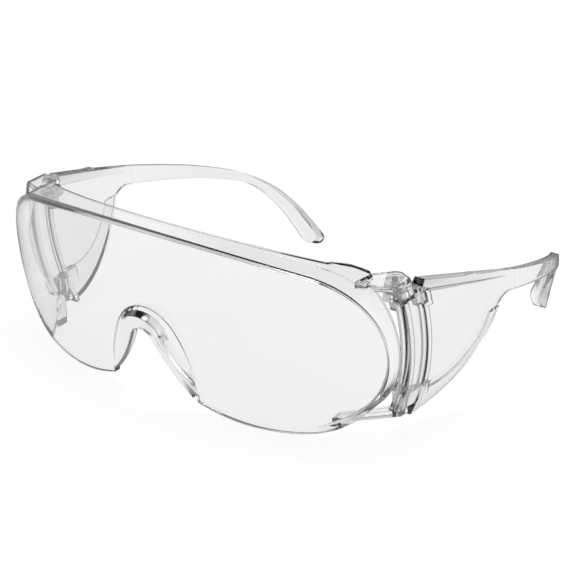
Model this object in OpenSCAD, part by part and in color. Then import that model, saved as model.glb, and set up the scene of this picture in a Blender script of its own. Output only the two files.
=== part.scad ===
// Clear safety overglasses: one moulded front, two temples with side shields, and four hinge pins.
// Every piece is drawn upright, with the hinge lines vertical and the hinge line's foot at y = 0,
// and is then tipped back so that the glasses rest on both lens lobes and both temple tips.
// x runs across the face, the lens faces -y and the temples run back along +y.

/* [Lens panel] */
// How far the middle of the panel bows ahead of the hinge line
lens_bow = 30; // [28:0.5:32]
// Radius of the panel's bow, seen from above
lens_r = 161; // [150:1:175]
// Thickness of the panel
lens_wall = 2.2; // [2:0.1:2.6]
// Height of the brow at the middle
brow_z = 60.6; // [58:0.2:62]
// Distance of each rounded end's centre from the middle
end_x = 50.2; // [48:0.2:51]
// Height of each rounded end's centre
end_z = 27.7; // [27:0.1:28.5]
// Radius of each rounded end
end_r = 27; // [26.4:0.1:27.2]
// Radius of the shallow curve under each lobe
lobe_r = 70; // [60:1:80]

/* [Rim] */
// Wall of the rim that runs back from the panel
rim_wall = 1.8; // [1.6:0.1:2.4]
// Depth of the brow ledge at the middle
ledge_depth = 7.5; // [6:0.5:9]
// Radius of the ledge's rear edge, seen from above
ledge_r = 123; // [118:1:130]
// Place of the rim's rear edge at the sides, ahead of the hinge line
rim_rear = -4.5; // [-4.8:0.1:-4.3]

/* [Nose] */
// Height of the top of the nose opening
nose_top = 27.3; // [26:0.1:28.5]
// Radius of the arch at the top of the opening
nose_arch_r = 4.8; // [4.4:0.1:5.4]
// Radius of the outward curve of the opening's flanks
nose_flank_r = 70; // [60:1:80]
// Angle round the arch at which a flank starts
nose_start = 25; // [22:1:28]
// Half width of the crease where the nose hood rises from the panel
crease_x = 17.7; // [17:0.1:18.2]
// Height of the top of that crease
crease_top = 33.8; // [33:0.1:35]
// How far the hood stands forward at its top
hood_rise = 3; // [2:0.2:4]
// Thickness of the rolled lip round the opening
lip_wall = 3.2; // [2.8:0.1:3.6]

/* [Sides] */
// Greatest half width, over the side shields
side_x = 82.3; // [81.6:0.1:83]
// Radius of the sides, seen from above
side_plan_r = 330; // [300:5:360]
// How far back the widest point is
side_plan_y = 48; // [45:1:50]
// Radius of the sides' bulge, seen from the front
bulge_r = 60; // [56:1:66]
// Height of the bulge's middle
bulge_z = 29; // [28:0.5:30]
// Wall of the side shields
shield_wall = 1.9; // [1.8:0.1:2.1]

/* [Temples] */
// Thickness of the temple arms
arm_wall = 2.6; // [2.4:0.1:3]
// Width of the arm where it leaves the shield
arm_height = 7; // [6.6:0.1:7.6]
// Slope of the arm's top edge along the shield, in degrees
arm_slope = 18.3; // [18:0.1:18.6]
// Radius of the arm behind the shield, seen from above
temple_plan_r = 131; // [120:1:150]
// Radius at which the end of the arm curves in behind the ear
ear_plan_r = 73; // [70:1:80]
// Half width of the rounded tips
tip_r = 2.85; // [2.6:0.05:3.2]

/* [Hinges] */
// Distance of each hinge line from the middle
hinge_x = 71; // [70.6:0.1:71.4]
// Distance of each hinge line behind the reference line
hinge_y = 2.6; // [2.4:0.1:2.8]
// Radius of the hinge pins
pin_r = 0.8; // [0.7:0.05:0.9]
// Radial clearance of the temple's knuckle on its pin
pin_fit = 0.05; // [0.03:0.01:0.08]
// Outer radius of the temple's knuckles
knuckle_r = 2.2; // [2.1:0.05:2.3]
// Outer radius of the front's lower hinge ears
lug_r = 2.4; // [2.3:0.05:2.5]
// Radius of the boss under each hinge cap
boss_r = 2.9; // [2.7:0.05:2.9]
// Gap between parts that turn past each other
gap = 0.35; // [0.3:0.05:0.4]

/* [Hidden] */
$fn = 96;
clear = [0.93, 0.95, 0.96, 0.35];

// Brow curve, touching both rounded ends
brow_r = (end_x * end_x + pow(brow_z - end_z, 2) - end_r * end_r) / (2 * (brow_z - end_z - end_r));
brow_turn = atan2(end_z - brow_z + brow_r, end_x);
// Lobe curve, touching a rounded end and lowest at z = 0
lobe_dx = sqrt(pow(lobe_r - end_r, 2) - pow(lobe_r - end_z, 2));
lobe_x = end_x - lobe_dx;
lobe_turn = atan2(end_z - lobe_r, lobe_dx);

// Nose opening
nose_arch_z = nose_top - nose_arch_r;
flank_x = (nose_flank_r + nose_arch_r) * cos(nose_start);
flank_z = nose_arch_z + (nose_flank_r + nose_arch_r) * sin(nose_start);
hood_foot = 6;
crease_z = 10;
nose_steps = 14;
// Hinge levels, from the bottom up
ear_z0 = 2.4;
ear_z1 = 4.6;
low_knuckle_z0 = ear_z1 + gap;
low_knuckle_z1 = 10.8;
low_head_z1 = low_knuckle_z1 + gap + 1.2;
top_head_z0 = 37.8;
top_knuckle_z0 = 41.5;
top_knuckle_z1 = 44.3;
boss_z0 = top_knuckle_z1 + gap;
cap_z0 = 46.65;
cap_z1 = 48.5;
pin_top = 47.6;
top_head_r = 2.05;
low_head_r = 1.6;
// How far the arm's faces lie inside the shield's where it leaves it
seam = 0.15;

// Temple outline, seen from the side
post_y = -2.1;
post_top = 42.9;
rib_y = 5.4;
rib_wide = 1.8;
arm_front_y = 6;
shield_c = [2.9, 42.6];
shield_r = 42.5;
border_c = [13.6, 33.8];
border_r = 24.6;
fillet_c = [46.4, 19.2];
fillet_r = 7;
arm_start = [50, 29.1];
arm_steps = 26;
arm_length = 94;
bend_length = 27.8;
// Distance along the arm, its downward slope there and its half width there
arm_slopes = [[0, 17], [25, 17.5], [50, 21.6], [70, 48], [85, 60], [100, 60]];
arm_halves = [[0, arm_height / 2], [30, 2.5], [60, 1.65], [arm_length, tip_r]];

// Middle line of the arm, unrolled flat, point by point
step_length = arm_length / arm_steps;
function slope(s) = lookup(s, arm_slopes);
arm_line = [for (i = 0, p = [0, arm_start[1]]; i <= arm_steps;
    p = p + step_length * [cos(slope((i + 0.5) * step_length)), -sin(slope((i + 0.5) * step_length))], i = i + 1) p];
// Edge point of the unrolled arm at step i, above (side 1) or below (side -1) the middle line
function arm_edge(i, side) =
    let (s = i * step_length)
    arm_line[i] + side * lookup(s, arm_halves) * [sin(slope(s)), cos(slope(s))];
// Rounded end of the unrolled arm, from its top to its underside
function arm_cap(a) = arm_line[arm_steps] + tip_r * [cos(tip_slope) * sin(a) + sin(tip_slope) * cos(a),
    cos(tip_slope) * cos(a) - sin(tip_slope) * sin(a)];
tip_slope = slope(arm_length);

// Heading of the arm seen from above, in degrees, and its place, after a length t behind the shield
first_turn = bend_length / temple_plan_r * 180 / PI;
function heading(t) =
    t < bend_length ? t / temple_plan_r * 180 / PI : first_turn + (t - bend_length) / ear_plan_r * 180 / PI;
function arm_y(t) = arm_start[0] + temple_plan_r * sin(min(heading(t), first_turn))
    + ear_plan_r * (sin(max(heading(t), first_turn)) - sin(first_turn));
function arm_x(t) = side_x - temple_plan_r * (1 - cos(min(heading(t), first_turn)))
    - ear_plan_r * (cos(first_turn) - cos(max(heading(t), first_turn)));
function rolled(p) = [arm_y(p[0]), p[1]];
tip_mid = rolled(arm_line[arm_steps]);

// Tilt at which the lobes and the tips touch the table together
lobe_y = -lens_bow + lens_r - sqrt(lens_r * lens_r - lobe_x * lobe_x);
tip_reach = norm([tip_mid[0] - lobe_y, tip_mid[1]]);
rest_tilt = atan2(-tip_mid[1], tip_mid[0] - lobe_y) + asin(tip_r / tip_reach);
rest_z = -lobe_y * sin(rest_tilt);
front_most = -lens_bow * cos(rest_tilt) - brow_z * sin(rest_tilt);
rear_most = tip_mid[0] * cos(rest_tilt) - tip_mid[1] * sin(rest_tilt) + 0.6 * tip_r;
rest_y = -(front_most + rear_most) / 2;

// Places a piece as it rests on a table
module at_rest() {
    translate([0, rest_y, rest_z]) rotate([rest_tilt, 0, 0]) children();
}

// Extrudes an outline drawn in x and z from y0 to y1
module along_y(y0, y1) {
    translate([0, y1, 0]) rotate([90, 0, 0]) linear_extrude(height = y1 - y0) children();
}

// Extrudes an outline drawn in y and z from x0 to x1
module along_x(x0, x1) {
    translate([x0, 0, 0]) rotate([90, 0, 90]) linear_extrude(height = x1 - x0) children();
}

// Extrudes an outline drawn in x and y from z0 to z1
module along_z(z0, z1) {
    translate([0, 0, z0]) linear_extrude(height = z1 - z0) children();
}

// Points on an arc from angle a0 to angle a1
function arc(c, r, a0, a1, n) = [for (i = [0 : n]) c + r * [cos(a0 + (a1 - a0) * i / n), sin(a0 + (a1 - a0) * i / n)]];
function flip(points) = [for (i = [len(points) - 1 : -1 : 0]) [-points[i][0], points[i][1]]];

// Right half of the panel's outline, from the middle of the lobes up to the middle of the brow
function half_outline(inset) = concat(
    arc([lobe_x, lobe_r], lobe_r - inset, -120, lobe_turn, 14),
    arc([end_x, end_z], end_r - inset, lobe_turn + 3, brow_turn - 3, 38),
    arc([0, brow_z - brow_r], brow_r - inset, brow_turn, 90, 14));

// Outline of the panel, seen from the front and drawn in by an inset
module lens_outline(inset) {
    polygon(concat(half_outline(inset), flip(half_outline(inset))));
}

// Right half of the nose opening's edge, from the top down: place and outward direction at step i
function nose_edge(i) =
    let (arch = 5, a = 90 - (90 - nose_start) * i / arch,
        b = 180 + nose_start + (i - arch) * 2)
    i <= arch ? [[nose_arch_r * cos(a), nose_arch_z + nose_arch_r * sin(a)], [cos(a), sin(a)]] :
    [[flank_x + nose_flank_r * cos(b), flank_z + nose_flank_r * sin(b)], [-cos(b), -sin(b)]];
// Width of the hood's rolled rim, and distance from the opening out to the crease, at step i
function rim_width(i) = 4.2 * (1 - pow(i / nose_steps, 3.5)) + 0.25;
function crease_gap(i) =
    let (p = nose_edge(i)[0], d = nose_edge(i)[1], kx = 1 / crease_x, kz = 1 / (crease_top - crease_z),
        a = pow(d[0] * kx, 2) + pow(d[1] * kz, 2),
        b = p[0] * d[0] * kx * kx + (p[1] - crease_z) * d[1] * kz * kz,
        c = pow(p[0] * kx, 2) + pow((p[1] - crease_z) * kz, 2) - 1)
    max((-b + sqrt(max(b * b - a * c, 0))) / a, rim_width(i) + 0.9);
function nose_point(i, gap) = nose_edge(i)[0] + gap * nose_edge(i)[1];

// The nose opening, wider by a share of the way out to the crease
module nose_hole(share) {
    right = [for (i = [0 : nose_steps])
        nose_point(i, share == 0 ? 0 : rim_width(i) + share * (crease_gap(i) - rim_width(i)))];
    low = right[nose_steps];
    polygon(concat(flip(right), right, [[low[0] + 2, -12], [-low[0] - 2, -12]]));
}

// Solid column behind the panel's front face
module lens_column(inset) {
    translate([0, lens_r - lens_bow, -40]) cylinder(r = lens_r - inset, h = 140, $fn = 360);
}

// Panel, brow ledge and rim in one hollow form, open to the rear
module panel_and_rim() {
    difference() {
        intersection() {
            along_y(-lens_bow - 5, rim_rear) lens_outline(0);
            lens_column(0);
        }
        intersection() {
            along_y(-lens_bow - 5, rim_rear + 1) lens_outline(rim_wall);
            lens_column(lens_wall);
        }
        translate([0, ledge_depth + ledge_r - lens_bow, -40]) cylinder(r = ledge_r, h = 140, $fn = 360);
        // the rim runs out under the lobes
        intersection() {
            along_z(-10, 12) polygon([[-66, rim_rear + 1], [-55, -18.5], [-50, -40], [50, -40], [55, -18.5],
                [66, rim_rear + 1], [66, 10], [-66, 10]]);
            lens_column(lens_wall);
        }
        along_y(-lens_bow - 5, 0) nose_hole(0.5);
    }
}

// Front face of the panel at a place across, and of the hood at a height
function panel_y(x) = lens_r - lens_bow - sqrt(lens_r * lens_r - x * x);
function hood_y(z) = -lens_bow - hood_rise * max(z - hood_foot, 0) / (nose_top - hood_foot);

// Section of the hood at step i, on one side of the face
function hood_section(i, side) =
    let (c = nose_edge(i)[0], b = nose_point(i, rim_width(i)), a = nose_point(i, crease_gap(i)))
    [[side * a[0], panel_y(a[0]) + 0.4, a[1]],
    [side * b[0], min(hood_y(b[1]), panel_y(b[0]) - 0.3), b[1]],
    [side * c[0], min(hood_y(c[1]), panel_y(c[0]) - 0.3), c[1]],
    [side * c[0], min(hood_y(c[1]), panel_y(c[0])) + lip_wall, c[1]],
    [side * b[0], min(hood_y(b[1]), panel_y(b[0])) + lip_wall, b[1]],
    [side * a[0], panel_y(a[0]) + lens_wall - 0.4, a[1]]];

// Nose hood with its rolled lip, as one shell run round the opening
module nose_hood() {
    sections = concat([for (i = [nose_steps : -1 : 1]) hood_section(i, -1)],
        [for (i = [0 : nose_steps]) hood_section(i, 1)]);
    n = len(sections);
    m = (n - 1) * 6;
    ends = [[0, 1, 2], [0, 2, 5], [2, 3, 5], [3, 4, 5], [m + 2, m + 1, m], [m + 5, m + 2, m], [m + 5, m + 3, m + 2],
        [m + 5, m + 4, m + 3]];
    sides = [for (i = [0 : n - 2], k = [0 : 5]) each [[(i + 1) * 6 + (k + 1) % 6, i * 6 + (k + 1) % 6, i * 6 + k],
        [(i + 1) * 6 + k, (i + 1) * 6 + (k + 1) % 6, i * 6 + k]]];
    intersection() {
        polyhedron(points = [for (q = sections) each q], faces = concat(ends, sides), convexity = 6);
        along_y(-lens_bow - 10, 10) lens_outline(0.3);
    }
}

// Outline of the side's bulge, seen from the front, moved out by an offset
module bulge_outline(offset_out) {
    translate([side_x - bulge_r - pow(side_plan_y, 2) / (2 * side_plan_r), bulge_z])
        circle(r = bulge_r + offset_out, $fn = 180);
}

// Right shoulder of the front: hinge cap with its boss and skirt, and the ear that carries the lower hinge
module shoulder() {
    // cap and boss over the top hinge, bored from below
    difference() {
        union() {
            intersection() {
                along_z(cap_z0, cap_z1) {
                    polygon([[63.8, -8], [66, -6.4], [71, rim_rear - 0.6], [75.4, rim_rear + 1], [75.4, 4], [73, 5],
                        [68.4, 4.2], [64.6, 0.6]]);
                    translate([hinge_x, hinge_y]) circle(r = lug_r + 0.7);
                }
                along_y(-12, 8) bulge_outline(-0.05);
            }
            translate([hinge_x, hinge_y, boss_z0]) cylinder(r1 = boss_r + 0.3, r2 = boss_r - 0.5, h = cap_z0 - boss_z0 + 0.5);
        }
        translate([hinge_x, hinge_y, boss_z0 - 1]) cylinder(r = pin_r, h = pin_top - boss_z0 + 1);
    }
    // wing of the brow ledge, run back into the cap
    intersection() {
        along_y(-14, 3) difference() {
            lens_outline(0.1);
            lens_outline(rim_wall + 0.1);
        }
        along_z(44, 60) polygon([[54, -12.5], [56, -8.2], [60.4, -4.2], [64.9, -1.1], [66.6, -2], [66.6, -7.5]]);
    }
    // skirt over the outer side of the top hinge
    intersection() {
        along_y(rim_rear + 0.7, 4) difference() {
            bulge_outline(0);
            bulge_outline(-1.2);
        }
        along_x(60, 90) translate([rim_rear, post_top + gap]) square([8.5, cap_z1 - post_top - gap - 0.1]);
    }
    // ear under the lower hinge, run out from the rim
    along_z(ear_z0, ear_z1) difference() {
        union() {
            translate([hinge_x, hinge_y]) circle(r = lug_r);
            polygon([[hinge_x - 1.6, hinge_y - 1.6], [63, -4.6], [57.6, -9.6], [57.8, -13.6], [61.2, -10.6],
                [hinge_x + 2.1, 0.2], [hinge_x + lug_r, hinge_y]]);
        }
        translate([hinge_x, hinge_y]) circle(r = pin_r);
    }
}

// Clear front, moulded in one piece
module front_lens() {
    color(clear) at_rest() {
        panel_and_rim();
        nose_hood();
        shoulder();
        mirror([1, 0, 0]) shoulder();
    }
}

// Curved wall of the right side, between two depths measured in from its outer face
module side_wall(out, depth) {
    translate([side_x - side_plan_r, side_plan_y, 0]) rotate([0, 0, -12])
        rotate_extrude(angle = 20, $fn = 720) intersection() {
            translate([side_plan_r - bulge_r, bulge_z]) difference() {
                circle(r = bulge_r + out, $fn = 180);
                circle(r = bulge_r - depth, $fn = 180);
            }
            translate([side_plan_r - 40, -10]) square([60, 70]);
        }
}

// Side outline of the shield, with the post at its front and the root of the arm along its top
module shield_outline() {
    rear = arm_start[0] + 0.7;
    touch = fillet_c + fillet_r * (shield_c - fillet_c) / norm(shield_c - fillet_c);
    difference() {
        union() {
            intersection() {
                translate(shield_c) circle(r = shield_r);
                polygon([[post_y, -5], [42, -5], [42, 30], [30, 40], [arm_front_y, post_top + 2], [post_y, post_top + 2]]);
            }
            polygon([[arm_front_y, 36], [arm_front_y, 43.6], [arm_front_y + 2.5, arm_top(arm_front_y + 2.5)],
                [rear, arm_top(rear)], [rear, arm_foot(rear)], [fillet_c[0], fillet_c[1] + fillet_r], fillet_c, touch,
                [30, 30]]);
        }
        translate(fillet_c) circle(r = fillet_r);
        translate([post_y - 3, post_top]) square([rib_y - 0.8 - post_y + 3, 20]);
        translate([post_y - 3, low_knuckle_z0 - 10]) square([hinge_y + lug_r + gap - post_y + 3, 10]);
    }
}

// Side outline of the arm behind the shield, with its hooked end
module arm_rear() {
    front = arm_start[0] - 0.7;
    polygon(concat([[front, arm_top(front) - 0.15]], [for (i = [0 : arm_steps]) rolled(arm_edge(i, 1))],
        [for (a = [20 : 20 : 160]) rolled(arm_cap(a))],
        [for (i = [arm_steps : -1 : 1]) rolled(arm_edge(i, -1))], [[front, arm_foot(front) + 0.15]]));
}

// The arm behind the shield, seen from above: two bends that touch, thin where it leaves the shield
module arm_plan() {
    steps = 28;
    length = 90;
    function depth(t) = shield_wall - 0.3 + (arm_wall - shield_wall + 0.3) * min(t / 34, 1);
    function place(i, side) = let (t = i * length / steps, h = heading(t), d = side * depth(t) + seam)
        [arm_x(t) - d * cos(h), arm_y(t) - d * sin(h)];
    polygon(concat([[side_x - seam, arm_start[0] - 0.7]], [for (i = [0 : steps]) place(i, 0)],
        [for (i = [steps : -1 : 0]) place(i, 1)], [[side_x - seam - depth(0), arm_start[0] - 0.7]]));
}

// A side outline cut from the curved side, from out beyond its face to a depth inside it
module side_piece(out, depth) {
    intersection() {
        side_wall(out, depth);
        along_x(40, 95) children();
    }
}

// Right temple, moulded in one piece, with its two knuckles bored for the pins
module temple() {
    difference() {
        temple_blank();
        for (z = [[low_knuckle_z0 - 1, low_knuckle_z1 + 0.8], [top_knuckle_z0 - 0.8, top_knuckle_z1 + 1]])
            translate([hinge_x, hinge_y, z[0]]) cylinder(r = pin_r + pin_fit, h = z[1] - z[0]);
    }
}

// Arm, side shield, post with two ribs, and the blanks of the hinge knuckles
module temple_blank() {
    side_piece(0, shield_wall) shield_outline();
    // raised border along the shield's lower edge
    side_piece(0.4, 1) difference() {
        shield_outline();
        translate(border_c) circle(r = border_r);
        translate([post_y - 1, 24]) square([70, 60]);
        translate([post_y - 1, -5]) square([rib_y + 1 - post_y, 30]);
    }
    // post, with a rib along each edge
    side_piece(-0.4, shield_wall + 0.4) intersection() {
        shield_outline();
        translate([post_y, 0]) square([rib_y - post_y + 1, 60]);
    }
    for (y = [post_y, rib_y]) side_piece(0.6, shield_wall + 1.1) intersection() {
        shield_outline();
        translate([y, 0]) square([rib_wide, 60]);
    }
    intersection() {
        along_z(-60, 60) arm_plan();
        along_x(30, 95) arm_rear();
    }
    // wedge inside the top of the shield, thickest at the hinge and run out at the arm
    intersection() {
        side_piece(-0.5, 12) polygon([[arm_front_y + 0.2, 42.9], [arm_front_y + 0.2, 43.6],
            [arm_front_y + 2.6, arm_top(arm_front_y + 2.6) - 0.1], [48, arm_top(48) - 0.1], [48, 31.3], [26, 37.6]]);
        along_z(25, 55) polygon([[73.2, 5], [90, 5], [90, 50], [80.6, 50]]);
    }
    // root block behind the top hinge
    side_piece(0.9, 4.2) translate([rib_y - 0.4, 39]) square([3.8, 4.7]);
    intersection() {
        union() {
            knuckle(knuckle_r + 1.6, knuckle_r + 1, top_knuckle_z0, top_knuckle_z1, [[hinge_x - 1.4, hinge_y + 1.2],
                [hinge_x + 1.4, hinge_y - 1.4], [75.4, rib_y - 0.4], [76, rib_y + 2], [73.6, rib_y + 2]]);
            knuckle(knuckle_r, knuckle_r, low_knuckle_z0, low_knuckle_z1, [[hinge_x - 1.6, hinge_y + 1.2],
                [hinge_x + 0.6, hinge_y - 2], [72.8, 0.2], [78, 0.2], [78, 11.4], [72.9, 11.4], [72.4, 6.6]]);
        }
        side_wall(-0.6, 14);
    }
}

// Height of the arm's top edge at a place along the shield
function arm_top(y) = rolled(arm_edge(0, 1))[1] + (rolled(arm_edge(0, 1))[0] - y) * tan(arm_slope);

// Height of the arm's underside where it leaves the shield
function arm_foot(y) = let (foot = rolled(arm_edge(0, -1)), top = fillet_c + [0, fillet_r])
    top[1] + (y - top[0]) * (foot[1] - top[1]) / (foot[0] - top[0]);

// Blank of a hinge knuckle with its arm, before boring
module knuckle(r1, r2, z0, z1, arm) {
    translate([hinge_x, hinge_y, z0]) cylinder(r1 = r1, r2 = r2, h = z1 - z0);
    along_z(z0, z1) polygon(arm);
}

// Pin pressed up into the cap, with a cupped head under the knuckle
module top_pin() {
    translate([hinge_x, hinge_y, top_knuckle_z0 - gap - 0.4]) cylinder(r = pin_r, h = pin_top - top_knuckle_z0 + gap + 0.4);
    translate([hinge_x, hinge_y, top_head_z0])
        cylinder(r1 = top_head_r - 0.3, r2 = top_head_r, h = top_knuckle_z0 - gap - top_head_z0);
}

// Pin pressed down into the ear, with its head over the knuckle
module bottom_pin() {
    translate([hinge_x, hinge_y, ear_z0]) cylinder(r = pin_r, h = low_knuckle_z1 + gap + 0.4 - ear_z0);
    translate([hinge_x, hinge_y, low_knuckle_z1 + gap])
        cylinder(r1 = low_head_r, r2 = low_head_r - 0.3, h = low_head_z1 - low_knuckle_z1 - gap);
}

module right_temple() {
    color(clear) at_rest() temple();
}

module left_temple() {
    color(clear) at_rest() mirror([1, 0, 0]) temple();
}

module right_top_hinge_pin() {
    color(clear) at_rest() top_pin();
}

module right_bottom_hinge_pin() {
    color(clear) at_rest() bottom_pin();
}

module left_top_hinge_pin() {
    color(clear) at_rest() mirror([1, 0, 0]) top_pin();
}

module left_bottom_hinge_pin() {
    color(clear) at_rest() mirror([1, 0, 0]) bottom_pin();
}

front_lens();
right_temple();
left_temple();
right_top_hinge_pin();
right_bottom_hinge_pin();
left_top_hinge_pin();
left_bottom_hinge_pin();
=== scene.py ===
import bpy
import math
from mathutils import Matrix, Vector


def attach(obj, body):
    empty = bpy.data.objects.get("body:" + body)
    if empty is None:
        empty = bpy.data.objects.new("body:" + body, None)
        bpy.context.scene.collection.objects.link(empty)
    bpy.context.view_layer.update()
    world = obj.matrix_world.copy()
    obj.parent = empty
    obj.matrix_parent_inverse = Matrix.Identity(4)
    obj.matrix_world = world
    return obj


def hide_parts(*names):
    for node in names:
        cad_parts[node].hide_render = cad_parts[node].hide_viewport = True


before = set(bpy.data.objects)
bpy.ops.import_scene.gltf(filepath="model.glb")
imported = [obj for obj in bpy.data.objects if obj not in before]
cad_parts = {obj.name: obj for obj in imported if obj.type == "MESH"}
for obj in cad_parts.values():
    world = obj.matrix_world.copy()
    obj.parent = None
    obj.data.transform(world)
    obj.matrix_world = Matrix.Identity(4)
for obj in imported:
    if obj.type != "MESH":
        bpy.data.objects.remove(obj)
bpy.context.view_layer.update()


# Front lens. One clear polycarbonate moulding: the curved panel, its brow ledge, the rolled nose hood and
# the caps and ears that carry the hinge pins. It is a welded copy of the CAD solid. Straight from the mould
# it is glossy and faintly grey through its walls. Its edges are darker, partly from the darker upper room
# and partly from painted shade: a dark grey is mixed in where a rounded edge turns away from the view.
INDEX = 1.585
DEPTH_TINT = (0.10, 0.115, 0.11, 1.0)
# grey of the painted shade along the edges
PAINTED_EDGE_SHADE = 0.12
POLISH = 0.004
HAIR_SHARE = 0.3


class Sock:
    """A shader value that can be added and multiplied."""

    def __init__(self, graph, socket):
        self.graph = graph
        self.socket = socket

    def __add__(self, other):
        return self.graph.maths("ADD", self, other)

    def __mul__(self, other):
        return self.graph.maths("MULTIPLY", self, other)


class Graph:
    """A node tree with its output node, to which nodes are added."""

    def __init__(self, tree, output):
        self.tree = tree
        self.tree.nodes.clear()
        self.output = self.tree.nodes.new(output)

    def plug(self, target, value):
        if isinstance(value, Sock):
            self.tree.links.new(value.socket, target)
        else:
            target.default_value = value

    def add(self, kind, settings=None, values=None, out=0):
        node = self.tree.nodes.new(kind)
        for key, value in (settings or {}).items():
            setattr(node, key, value)
        for key, value in (values or {}).items():
            self.plug(node.inputs[key], value)
        return Sock(self, node.outputs[out])

    def maths(self, operation, a, b):
        return self.add("ShaderNodeMath", {"operation": operation}, {0: a, 1: b})


def new_finish(name):
    """An empty material and the graph that fills it."""
    material = bpy.data.materials.new(name)
    material.use_nodes = True
    return material, Graph(material.node_tree, "ShaderNodeOutputMaterial")


def grey(level):
    return (level, level, level, 1.0)


def clear_moulding(name, wall_tint, wear, ripple, density, painted_shade_from, edge_round):
    """Clear polycarbonate: glossy, with faint handling haze, the slight ripple of a moulded wall and painted
    shade along its rounded edges.
    """
    material, g = new_finish(name)
    place = g.add("ShaderNodeTexCoord", out="Object")
    smears = g.add("ShaderNodeTexNoise", {"noise_dimensions": "3D"},
                   {"Vector": place, "Scale": 55.0, "Detail": 4.0, "Roughness": 0.55})
    hairs = g.add("ShaderNodeTexNoise", {"noise_dimensions": "3D"},
                  {"Vector": place, "Scale": 420.0, "Detail": 3.0, "Roughness": 0.6})
    haze = g.add("ShaderNodeMapRange", {}, {"Value": smears, "From Min": 0.52, "From Max": 0.78,
                                            "To Min": 0.0, "To Max": 1.0})
    rough = haze * wear + hairs * (wear * HAIR_SHARE) + POLISH
    wave = g.add("ShaderNodeTexNoise", {"noise_dimensions": "3D"},
                 {"Vector": place, "Scale": 16.0, "Detail": 1.0, "Roughness": 0.4})
    rounded = g.add("ShaderNodeBevel", {"samples": 12}, {"Radius": edge_round}, out="Normal")
    normal = g.add("ShaderNodeBump", {}, {"Strength": ripple, "Distance": 0.0004, "Height": wave,
                                          "Normal": rounded}, out="Normal")
    clean = (wall_tint, wall_tint, wall_tint * 1.002, 1.0)
    handled = (wall_tint * 0.985, wall_tint * 0.987, wall_tint * 0.985, 1.0)
    tint = g.add("ShaderNodeMix", {"data_type": "RGBA"}, {"Factor": haze, 6: clean, 7: handled}, out=2)
    body = g.add("ShaderNodeBsdfPrincipled", {},
                 {"Base Color": tint, "Roughness": rough, "IOR": INDEX, "Transmission Weight": 1.0,
                  "Normal": normal}, out="BSDF")
    # painted shade: where a rounded edge turns away from the view, a dark grey refraction is mixed in, which
    # draws dark lines along the edges
    facing = g.add("ShaderNodeLayerWeight", {}, {"Blend": 0.5, "Normal": rounded}, out="Facing")
    painted_shade_share = g.add("ShaderNodeMapRange", {"interpolation_type": "SMOOTHSTEP"},
                    {"Value": facing, "From Min": painted_shade_from, "From Max": 1.0, "To Min": 0.0, "To Max": 0.9})
    # the dark grey refraction that paints shade along the edges
    edge = g.add("ShaderNodeBsdfRefraction", {},
                 {"Color": grey(PAINTED_EDGE_SHADE), "Roughness": 0.02, "IOR": INDEX, "Normal": rounded}, out="BSDF")
    both = g.add("ShaderNodeMixShader", {}, {0: painted_shade_share, 1: body, 2: edge}, out="Shader")
    depth = g.add("ShaderNodeVolumeAbsorption", {}, {"Color": DEPTH_TINT, "Density": density}, out="Volume")
    g.plug(g.output.inputs["Surface"], both)
    g.plug(g.output.inputs["Volume"], depth)
    return material


# The round forms are given in the upright drawing's millimetres, on its +x side. The glasses rest tipped
# back by this angle and moved by these lengths.
REST_TILT = math.radians(8.27075)
REST_Y, REST_Z = -41.7036, 3.4951
MILLIMETRES = 1000


def drawn(point):
    """Which side a point of the resting glasses is on, and its place in the upright drawing."""
    y, z = point[1] * MILLIMETRES - REST_Y, point[2] * MILLIMETRES - REST_Z
    side = 1.0 if point[0] >= 0 else -1.0
    return side, Vector((abs(point[0]) * MILLIMETRES,
                         y * math.cos(REST_TILT) + z * math.sin(REST_TILT),
                         z * math.cos(REST_TILT) - y * math.sin(REST_TILT)))


def at_rest(side, n):
    """A direction in the upright drawing turned back to the resting glasses."""
    return Vector((side * n[0], n[1] * math.cos(REST_TILT) - n[2] * math.sin(REST_TILT),
                   n[1] * math.sin(REST_TILT) + n[2] * math.cos(REST_TILT)))


def drum(x, y, taper=0.0):
    """Round faces about an upright line: distance and direction from it at a point."""
    def form(p):
        v = Vector((p.x - x, p.y - y, 0.0))
        r = max(v.length, 1e-6)
        return r + taper * p.z, Vector((v.x / r, v.y / r, taper)).normalized()
    return form


def roller(y, z):
    """Round faces about a line across the face."""
    def form(p):
        v = Vector((0.0, p.y - y, p.z - z))
        return v.length, v.normalized()
    return form


def tunnel(x, z):
    """Round faces about a line from front to back."""
    def form(p):
        v = Vector((p.x - x, 0.0, p.z - z))
        return v.length, v.normalized()
    return form


def barrel(x, y, z, ring):
    """Faces curved both ways, as on the bulging sides."""
    def form(p):
        flat = Vector((p.x - x, p.y - y))
        inward = 1 - ring / flat.length
        v = Vector((flat.x * inward, flat.y * inward, p.z - z))
        return v.length, v.normalized()
    return form


LEAST_MATCH = 0.985


def round_off(mesh, forms, spread):
    """Gives each triangle on one of the round forms that form's own directions at its corners."""
    corners = [Vector(n.vector) for n in mesh.corner_normals]
    places = [drawn(v.co) for v in mesh.vertices]
    best = [LEAST_MATCH] * len(mesh.polygons)
    for form in forms:
        found = [form(p) for side, p in places]
        for face in mesh.polygons:
            reach = [found[i][0] for i in face.vertices]
            if max(reach) - min(reach) > spread:
                continue
            turned = [at_rest(places[i][0], found[i][1]) for i in face.vertices]
            match = sum(n.dot(face.normal) for n in turned) / len(turned)
            if abs(match) > best[face.index]:
                best[face.index] = abs(match)
                for loop, n in zip(face.loop_indices, turned):
                    corners[loop] = n if match > 0 else -n
    mesh.normals_split_custom_set(corners)


PANEL_CENTRE_Y = 131
PANEL_FACES = (161, 158.8)
HOOD_HALF_WIDTH = 18
HOOD_FOOT, HOOD_TOP = 1, 34
HOOD_CREASE = math.radians(50)


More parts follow.
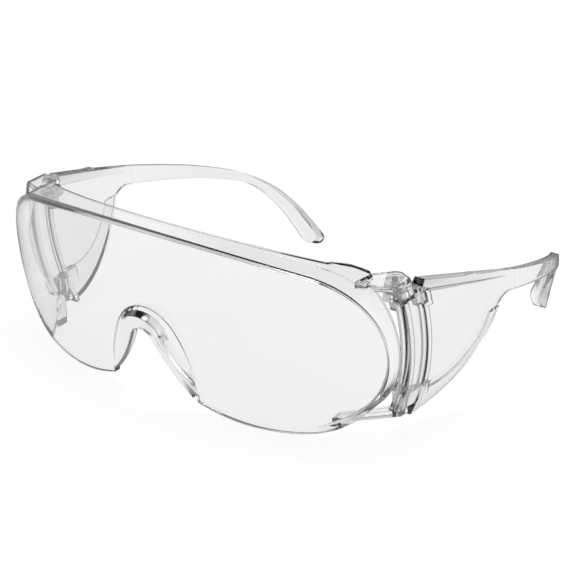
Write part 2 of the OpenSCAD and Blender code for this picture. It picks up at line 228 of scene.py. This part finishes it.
def soften_hood(mesh):
    """Shades the nose hood as one rolled surface, apart from the panel that it rises from."""
    beside = {}
    for face in mesh.polygons:
        for key in face.edge_keys:
            beside.setdefault(key, []).append(face.normal)
    for edge in mesh.edges:
        ends = [drawn(mesh.vertices[i].co)[1] for i in edge.vertices]
        p = (ends[0] + ends[1]) / 2
        reach = math.hypot(p.x, p.y - PANEL_CENTRE_Y)
        near = beside.get(tuple(sorted(edge.vertices)), [])
        in_hood = p.x < HOOD_HALF_WIDTH and HOOD_FOOT < p.z < HOOD_TOP
        off_panel = all(abs(reach - r) > 0.3 for r in PANEL_FACES)
        if in_hood and off_panel and len(near) == 2:
            edge.use_edge_sharp = near[0].angle(near[1], 0.0) > HOOD_CREASE


WELD = 0.000002


def moulding(name, node, body, material, smooth, forms, spread=0.02):
    """A welded copy of a CAD node, with its rounded faces shaded smooth, that stands for the node."""
    bpy.ops.object.select_all(action="DESELECT")
    piece = bpy.data.objects.new(name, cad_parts[node].data.copy())
    bpy.context.scene.collection.objects.link(piece)
    piece.data.materials.clear()
    piece.data.materials.append(material)
    bpy.context.view_layer.objects.active = piece
    piece.select_set(True)
    bpy.ops.object.mode_set(mode="EDIT")
    bpy.ops.mesh.select_all(action="SELECT")
    bpy.ops.mesh.remove_doubles(threshold=WELD)
    bpy.ops.object.mode_set(mode="OBJECT")
    bpy.ops.mesh.customdata_custom_splitnormals_clear()
    bpy.ops.object.shade_smooth_by_angle(angle=math.radians(smooth), keep_sharp_edges=False)
    if node == "front_lens":
        soften_hood(piece.data)
    round_off(piece.data, forms, spread)
    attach(piece, body)
    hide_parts(node)


hinge = drum(71, 2.6)
front_forms = [
    drum(0, PANEL_CENTRE_Y),  # both faces of the panel
    drum(0, 100.5),           # rear edge of the brow ledge
    tunnel(0, -182.91),       # brow
    tunnel(50.2, 27.7),       # round ends
    tunnel(42.47, 70),        # under each lobe
    tunnel(18.81, 29),        # shoulder plates
    hinge,
    drum(71, 2.6, 0.32),      # cone of the boss under a cap
]
lens_finish = clear_moulding("clear_front_lens", wall_tint=0.95, wear=0.035, ripple=0.02,
                             density=40.0, painted_shade_from=0.68, edge_round=0.0006)
moulding("front_lens_moulding", "front_lens", "front", lens_finish, 8, front_forms)


# Temples. Each is one clear moulding too: side shield with its border, hinge post with two ribs, knuckles
# that turn on the pins, and the arm with its hooked end. They are handled more than the lens, so their haze
# is a little stronger.
temple_forms = [
    drum(-48.7, 50),               # arm behind the shield
    drum(7.999, 62.216),           # its end behind the ear
    roller(2.9, 42.6),             # edge of the shield
    roller(46.4, 19.2),            # hollow between shield and arm
    roller(13.6, 33.8),            # border of the shield
    hinge,
    drum(71, 2.6, 0.214),          # cone of the upper knuckle
    barrel(-247.7, 48, 29, 270),   # bulging side
]
temple_finish = clear_moulding("clear_temples", wall_tint=0.94, wear=0.05, ripple=0.025,
                               density=58.0, painted_shade_from=0.64, edge_round=0.0008)
for side in ("right", "left"):
    moulding(side + "_temple_moulding", side + "_temple", "temple_" + side,
             temple_finish, 12, temple_forms, spread=0.12)


# Hinge pins. Four short headed pins of clear plastic, pressed into the caps and ears of the front. Their
# dark grey tint is painted shade, which greys the domes of the caps over them. The knuckles of the temples
# turn on them.
# the dark wall tint of 0.55 is painted shade; the pins themselves are nearly clear
pin_finish_painted_shade = clear_moulding("clear_pins", wall_tint=0.55, wear=0.03, ripple=0.0,
                            density=64.0, painted_shade_from=0.5, edge_round=0.0004)
for side in ("right", "left"):
    for level in ("top", "bottom"):
        moulding(f"{side}_{level}_pin", f"{side}_{level}_hinge_pin", "front",
                 pin_finish_painted_shade, 20, [hinge])


# Floor. A white table top, as in a shop photograph. It looks white to the camera and through the plastic,
# and keeps a soft shadow.
bpy.ops.object.select_all(action="DESELECT")
bpy.ops.mesh.primitive_plane_add(size=2.2, location=(0.0, 0.0, 0.0))
floor = bpy.context.active_object
floor.name = "floor"
white_table, g = new_finish("white_table")
place = g.add("ShaderNodeTexCoord", out="Object")
grain = g.add("ShaderNodeTexNoise", {}, {"Vector": place, "Scale": 30.0, "Detail": 2.0})
paper = g.add("ShaderNodeMix", {"data_type": "RGBA"}, {"Factor": grain, 6: grey(0.93), 7: grey(0.95)}, out=2)
matt = g.add("ShaderNodeBsdfDiffuse", {}, {"Color": paper}, out="BSDF")
shine = g.add("ShaderNodeEmission", {}, {"Color": grey(1.0), "Strength": 1.085}, out="Emission")
direct = g.add("ShaderNodeLightPath", out="Is Camera Ray")
glossy = g.add("ShaderNodeLightPath", out="Is Glossy Ray")
through = g.add("ShaderNodeLightPath", out="Is Transmission Ray")
seen = g.maths("MINIMUM", direct + glossy + through, 1.0)
both = g.add("ShaderNodeMixShader", {}, {0: seen * 0.8, 1: matt, 2: shine}, out="Shader")
g.plug(g.output.inputs["Surface"], both)
floor.data.materials.append(white_table)


# Light. A soft lamp overhead for the shadow and two weaker ones at the sides, in a white room whose upper
# part is darker, which gives the clear edges their dark lines.
def soft_lamp(name, place, turn, size, power):
    data = bpy.data.lights.new(name, "AREA")
    data.shape = "RECTANGLE"
    data.size, data.size_y = size
    data.energy = power
    lamp = bpy.data.objects.new(name, data)
    bpy.context.scene.collection.objects.link(lamp)
    lamp.location = place
    lamp.rotation_euler = [math.radians(a) for a in turn]


soft_lamp("top_lamp", (0.0, 0.1, 0.9), (0, 0, 0), (0.3, 0.22), 2.2)
soft_lamp("left_lamp", (-0.8, -0.3, 0.45), (0, -65, 20), (0.5, 0.6), 1.0)
soft_lamp("right_lamp", (0.8, -0.1, 0.45), (0, 65, -10), (0.4, 0.6), 0.8)

world = bpy.data.worlds.new("studio")
bpy.context.scene.world = world
world.use_nodes = True
room = Graph(world.node_tree, "ShaderNodeOutputWorld")
way = room.add("ShaderNodeTexCoord", out="Generated")
height = room.add("ShaderNodeSeparateXYZ", {}, {"Vector": way}, out="Z")
wall = room.add("ShaderNodeMapRange", {}, {"Value": height, "From Min": 0.55, "From Max": 0.70,
                                           "To Min": 1.0, "To Max": 0.22})
level = room.maths("MAXIMUM", wall, room.add("ShaderNodeLightPath", out="Is Camera Ray"))
sky = room.add("ShaderNodeBackground", {}, {"Color": grey(1.0), "Strength": level}, out="Background")
room.plug(room.output.inputs["Surface"], sky)


# Camera. A long lens from the front on the +x side, a little above the glasses.
view = bpy.data.cameras.new("view")
view.lens = 101.18
view.sensor_width = 36.0
view.clip_start = 0.01
camera = bpy.data.objects.new("view", view)
bpy.context.scene.collection.objects.link(camera)
camera.location = (0.31366, -0.41241, 0.21653)
camera.rotation_euler = (math.radians(68.894), math.radians(-1.3464), math.radians(38.0815))
bpy.context.scene.camera = camera
bpy.context.scene.view_settings.view_transform = "Standard"
